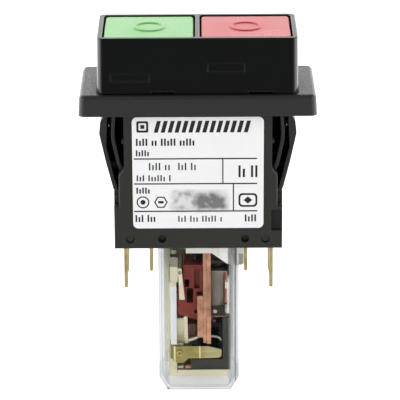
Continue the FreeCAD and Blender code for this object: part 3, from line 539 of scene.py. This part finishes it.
def label_print():
    """Rules, plain dashes and simple marks laid out like the print on the real label."""
    bm = bmesh.new()
    ink_band(bm, rounded_box(-14.2, -11.45, -4.35, -1.6, 0.35), rounded_box(-13.7, -11.95, -3.85, -2.1, 0.2))
    ink(bm, rounded_box(-13.3, -12.35, -3.45, -2.5, 0.1))
    slant_row(bm, -10.2, 13.3, -4.4, -1.55, 1.6, 0.95, 0.75)
    for row in TICK_ROWS:
        tick_row(bm, *row)
    for x0, x1, z in ((-14.9, 13.7, RULE_HIGH), (-14.9, 13.75, RULE_MID), (-15.0, 13.8, RULE_LOW)):
        ink(bm, rectangle(x0, x1, z - RULE_HALF, z + RULE_HALF))
    for x, z0, z1 in ((5.76, RULE_MID, RULE_HIGH), (8.22, RULE_LOW, RULE_MID)):
        ink(bm, rectangle(x - UPRIGHT_HALF, x + UPRIGHT_HALF, z0, z1))
    ink_band(bm, disc(-12.9, MARK_Z, 1.5), disc(-12.9, MARK_Z, 1.2))
    ink(bm, disc(-12.9, MARK_Z, 0.6, 20))
    ink_band(bm, disc(-8.7, MARK_Z, 1.6, 6), disc(-8.7, MARK_Z, 1.25, 6))
    ink(bm, rounded_box(-9.35, -8.05, -21.8, -21.2, 0.15))
    ink_band(bm, rounded_box(9.4, 13.8, -22.75, -19.35, 0.9), rounded_box(9.85, 13.35, -22.3, -19.8, 0.6))
    ink(bm, [
        (DIAMOND_X - 1.0, DIAMOND_Z), (DIAMOND_X, DIAMOND_Z - 0.9),
        (DIAMOND_X + 1.0, DIAMOND_Z), (DIAMOND_X, DIAMOND_Z + 0.9),
    ])
    return add_mesh("label_print", bm, M_INK, "housing")


def grey_field():
    """Blank serial-number field: a mottled grey print that fades out at its edges."""
    middle_x, middle_z = 0.35, -21.2
    bm = bmesh.new()
    prism(bm, rounded_box(-7.2, 7.9, -24.9, -18.1, 0.6), FACE - INK * 0.5, FACE)
    t = Tree("grey_field_print")
    split = t.node("ShaderNodeSeparateXYZ", Vector=t.coords)
    fade_x = t.mapped(t.away(split.outputs["X"], middle_x * MM), 1.0, 0.0, 5.6 * MM, 7.4 * MM)
    fade_z = t.mapped(t.away(split.outputs["Z"], middle_z * MM), 1.0, 0.0, 1.6 * MM, 3.1 * MM)
    blot = t.mapped(t.noise(330.0, 2.0, 0.5), 0.25, 1.0, 0.38, 0.62)
    grey = t.math("MULTIPLY", t.math("MULTIPLY", fade_x, fade_z), blot)
    tint = t.mixed(grey, PAPER_WHITE, srgb(104, 104, 104))
    mat = t.done(principled(t, tint, 0.45, t.bump(t.noise(1500.0), 0.2, 0.004 * MM), specular=0.3))
    return add_mesh("grey_field", bm, mat, "housing")


M_INK = moulded("label_ink", srgb(30, 30, 31), 0.5, 1500.0, 0.004, 0.2, 0.12, specular=0.2, round_=0.01)
label_print()
grey_field()


# ---------------------------------------------------------------- small details
# Spans in mm of the frosted rib behind the cover's front wall and of the dark pad that paints shade in the
# housing's recess
RIB_X, RIB_Y, RIB_Z = (-6.7, -5.3), (-7.72, -7.3), (-59.0, -43.9)
PAD_X, PAD_Y, PAD_Z = (17.2, 19.6), (-10.0, -9.88), (-28.65, -23.6)


def solid_box(name, span_x, span_y, span_z, material, body, edge=0.08):
    """A block over three spans in mm with rounded edges."""
    bm = bmesh.new()
    prism(bm, rectangle(*span_x, *span_z), *span_y)
    bmesh.ops.bevel(bm, geom=list(bm.edges), offset=edge * MM, segments=2, affect="EDGES", profile=0.5)
    return add_mesh(name, bm, material, body)


def frosted():
    """Clear plastic with a frosted surface."""
    t = Tree("rib_frost")
    haze = t.noise(240.0, 4.0, 0.6)
    tint = t.mixed(t.mapped(haze, 0.0, 1.0), srgb(220, 226, 230), srgb(238, 241, 243))
    skin = principled(t, tint, 0.3, t.bump(haze, 0.1, 0.02 * MM))
    return t.done(t.over_clear(0.8, skin))


solid_box("cover_rib", RIB_X, RIB_Y, RIB_Z, frosted(), "housing")
# A dark pad laid in the housing's recess as painted shade.
M_SHADE = moulded("recess_shade", srgb(19, 19, 17), 0.6, specular=0.2, round_=0.01)
solid_box("recess_painted_shade", PAD_X, PAD_Y, PAD_Z, M_SHADE, "housing", 0.03)


def tube(name, points, radius, material, body):
    """A round lead through points in mm, as a curve turned to mesh."""
    data = bpy.data.curves.new(name, "CURVE")
    data.dimensions = "3D"
    data.bevel_depth = radius * MM
    data.bevel_resolution = 3
    data.use_fill_caps = True
    spline = data.splines.new("NURBS")
    spline.points.add(len(points) - 1)
    for spot, (x, y, z) in zip(spline.points, points):
        spot.co = (x * MM, y * MM, z * MM, 1.0)
    spline.order_u = 3
    spline.use_endpoint_u = True
    spline.resolution_u = 12
    obj = bpy.data.objects.new(name + "_curve", data)
    scene.collection.objects.link(obj)
    mesh = bpy.data.meshes.new_from_object(obj.evaluated_get(bpy.context.evaluated_depsgraph_get()))
    bpy.data.objects.remove(obj)
    piece = bpy.data.objects.new(name, mesh)
    scene.collection.objects.link(piece)
    mesh.materials.clear()
    mesh.materials.append(material)
    smooth(piece)
    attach(piece, body)
    return piece


def braid():
    """Tinned braid: fine slanting strands over a grey lead."""
    t = Tree("lead_braid")
    wave = t.nt.nodes.new("ShaderNodeTexWave")
    wave.bands_direction = "DIAGONAL"
    wave.inputs["Scale"].default_value = 900.0
    wave.inputs["Distortion"].default_value = 2.0
    t.link(t.coords, wave.inputs["Vector"])
    strand = wave.outputs["Fac"]
    tint = t.mixed(strand, srgb(126, 128, 122), srgb(206, 208, 200))
    return t.done(principled(t, tint, 0.4, t.bump(strand, 0.6, 0.04 * MM), metallic=0.6))


# The braided lead runs from the strips' lower ends over to the black chamber
LEAD_RADIUS = 0.3
LEAD_ROUTE = [
    (-0.9, -4.35, -58.9), (-0.1, -4.35, -58.3), (1.4, -4.3, -58.5),
    (3.2, -4.3, -58.2), (5.0, -4.25, -58.6), (5.35, -4.1, -59.4),
]
tube("signal_lead", LEAD_ROUTE, LEAD_RADIUS, braid(), "housing")


# ---------------------------------------------------------------- coil winding
WIRE = 0.105                  # radius of the coil's wire
WIRE_SIDES, TURN_STEPS = 6, 28


def winding():
    """The coil's wire, wound turn on turn between the bobbin's flanges."""
    low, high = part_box("coil_winding")
    centre = (low + high) / 2
    wire = WIRE * MM
    radius = (high.x - low.x) / 2 - wire
    pitch = wire * 2.02
    turns = int((high.z - low.z) / pitch) - 1
    start = centre.z - turns * pitch / 2
    bm = bmesh.new()
    rings = []
    for i in range(turns * TURN_STEPS + 1):
        a = 2 * math.pi * i / TURN_STEPS
        wander = (0.02 * math.sin(a * 0.37) + 0.012 * math.sin(a * 1.93) - 0.03) * MM
        out = Vector((math.cos(a), math.sin(a), 0))
        spot = Vector((centre.x, centre.y, start + pitch * i / TURN_STEPS)) + out * (radius + wander)
        rings.append([
            bm.verts.new(spot + (out * math.cos(b) + Vector((0, 0, math.sin(b)))) * wire)
            for b in circle_steps(WIRE_SIDES)
        ])
    loft(bm, rings)
    obj = add_mesh("wound_coil", bm, M["copper_wire"], "housing")
    smooth(obj)
    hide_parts("coil_winding")


winding()


# ---------------------------------------------------------------- signal contacts
# How wide a rivet contact is along its length, from its seat to its domed end, both as shares
TIP_PROFILE = ((0.0, 0.92), (0.05, 1.0), (0.84, 1.0), (0.90, 0.96), (0.95, 0.82), (0.98, 0.55), (1.0, 0.2))
TIP_SIDES = 32


def contact_tip(name, node, way, material, body):
    """A rivet contact whose meeting end is domed; way is +1 when that end looks towards +X."""
    low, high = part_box(node)
    middle = (low + high) / 2
    radius = (high.z - low.z) / 2
    start, end = (low.x, high.x) if way > 0 else (high.x, low.x)
    bm = bmesh.new()
    rings = []
    for along, wide in TIP_PROFILE:
        x, r = start + along * (end - start), wide * radius
        rings.append([
            bm.verts.new((x, middle.y + r * math.cos(a), middle.z + r * math.sin(a)))
            for a in circle_steps(TIP_SIDES)
        ])
    loft(bm, rings)
    piece = add_mesh(name, bm, material, body)
    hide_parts(node)


contact_tip("silver_tip", "silver_contact", 1, M["silver"], "signal_blade")
contact_tip("copper_tip", "copper_contact", -1, M["copper"], "housing")


def live_spring(node):
    """The CAD spring's shape copied into a piece of its own that rides on the housing."""
    source = NODES[node]
    mesh = source.data.copy()
    mesh.transform(source.matrix_world)
    piece = bpy.data.objects.new(node + "_coils", mesh)
    scene.collection.objects.link(piece)
    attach(piece, "housing")
    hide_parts(node)
    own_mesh(piece)


live_spring("on_return_spring")
live_spring("off_return_spring")
live_spring("carrier_spring")
live_spring("armature_spring")


# ---------------------------------------------------------------- stage, light and camera
FLOOR_Z = CAD_BOX[0][2] - 0.1 * MM
FLOOR_HALF = 25.0
FLOOR_GLOW = 0.73
LENS, SENSOR, SHIFT_X = 215.8, 36.0, 0.0045
CAMERA_PLACE = (0.0, -0.5370, 0.1699)
CAMERA_TILT, CAMERA_ROLL = 70.06, -0.3


def build_stage():
    """A pale floor that glows a little, so that it stays plain right up to the object."""
    bm = bmesh.new()
    bmesh.ops.create_grid(bm, x_segments=2, y_segments=2, size=FLOOR_HALF)
    mesh = bpy.data.meshes.new("floor")
    bm.to_mesh(mesh)
    bm.free()
    floor = bpy.data.objects.new("floor", mesh)
    floor.location = (0, 0, FLOOR_Z)
    scene.collection.objects.link(floor)
    t = Tree("floor_pale")
    tint = t.mixed(t.mapped(t.noise(3.0, 2.0), 0.0, 1.0), (0.36, 0.36, 0.36, 1), (0.40, 0.40, 0.40, 1))
    paper = t.node("ShaderNodeBsdfPrincipled", Base_Color=tint, Roughness=0.8)
    paper.inputs["Specular IOR Level"].default_value = 0.1
    paper.inputs["Emission Color"].default_value = (1.0, 1.0, 1.0, 1.0)
    paper.inputs["Emission Strength"].default_value = FLOOR_GLOW
    mesh.materials.append(t.done(paper.outputs["BSDF"]))


def build_world():
    """Soft surroundings, brighter behind the object than in front of it."""
    world = bpy.data.worlds.new("soft_studio")
    scene.world = world
    world.use_nodes = True
    nt = world.node_tree
    back = nt.nodes["Background"]
    coords = nt.nodes.new("ShaderNodeTexCoord")
    split = nt.nodes.new("ShaderNodeSeparateXYZ")
    nt.links.new(coords.outputs["Generated"], split.inputs[0])
    ramp = nt.nodes.new("ShaderNodeMapRange")
    nt.links.new(split.outputs["Y"], ramp.inputs["Value"])
    for key, value in (("From Min", -0.7), ("From Max", 0.5), ("To Min", 0.4), ("To Max", 1.0)):
        ramp.inputs[key].default_value = value
    nt.links.new(ramp.outputs["Result"], back.inputs["Strength"])
    back.inputs["Color"].default_value = (1.0, 1.0, 1.0, 1.0)


def area_light(name, place, aim, size, power):
    """A softbox of the given width and height that looks at a point and isn't seen itself."""
    data = bpy.data.lights.new(name, "AREA")
    data.shape = "RECTANGLE"
    data.size, data.size_y = size
    data.energy = power
    lamp = bpy.data.objects.new(name, data)
    scene.collection.objects.link(lamp)
    lamp.location = place
    lamp.rotation_euler = (Vector(aim) - Vector(place)).to_track_quat("-Z", "Y").to_euler()
    lamp.visible_camera = False


def build_camera():
    """A long lens that looks down on the front at about 20 degrees."""
    data = bpy.data.cameras.new("camera")
    data.sensor_width = SENSOR
    data.lens = LENS
    data.shift_x = SHIFT_X
    data.clip_start = 0.01
    camera = bpy.data.objects.new("camera", data)
    place = Matrix.Translation(CAMERA_PLACE)
    tilt = Matrix.Rotation(math.radians(CAMERA_TILT), 4, "X")
    roll = Matrix.Rotation(math.radians(CAMERA_ROLL), 4, "Z")
    camera.matrix_world = place @ tilt @ roll
    scene.collection.objects.link(camera)
    scene.camera = camera


build_stage()
build_world()
area_light("back_softbox", (0.0, 0.9, 0.42), (0, 0, 0.0), (1.6, 0.6), 5.5)
for side, name in ((-1, "left_softbox"), (1, "right_softbox")):
    area_light(name, (side * 0.16, 0.08, 0.03), (0, 0.06, 0.03), (0.46, 0.2), 1.0)
area_light("key_softbox", (-0.35, -0.7, 0.75), (0, 0, -0.01), (0.5, 0.5), 1.1)
build_camera()
scene.view_settings.view_transform = "Standard"
scene.view_settings.look = "None"
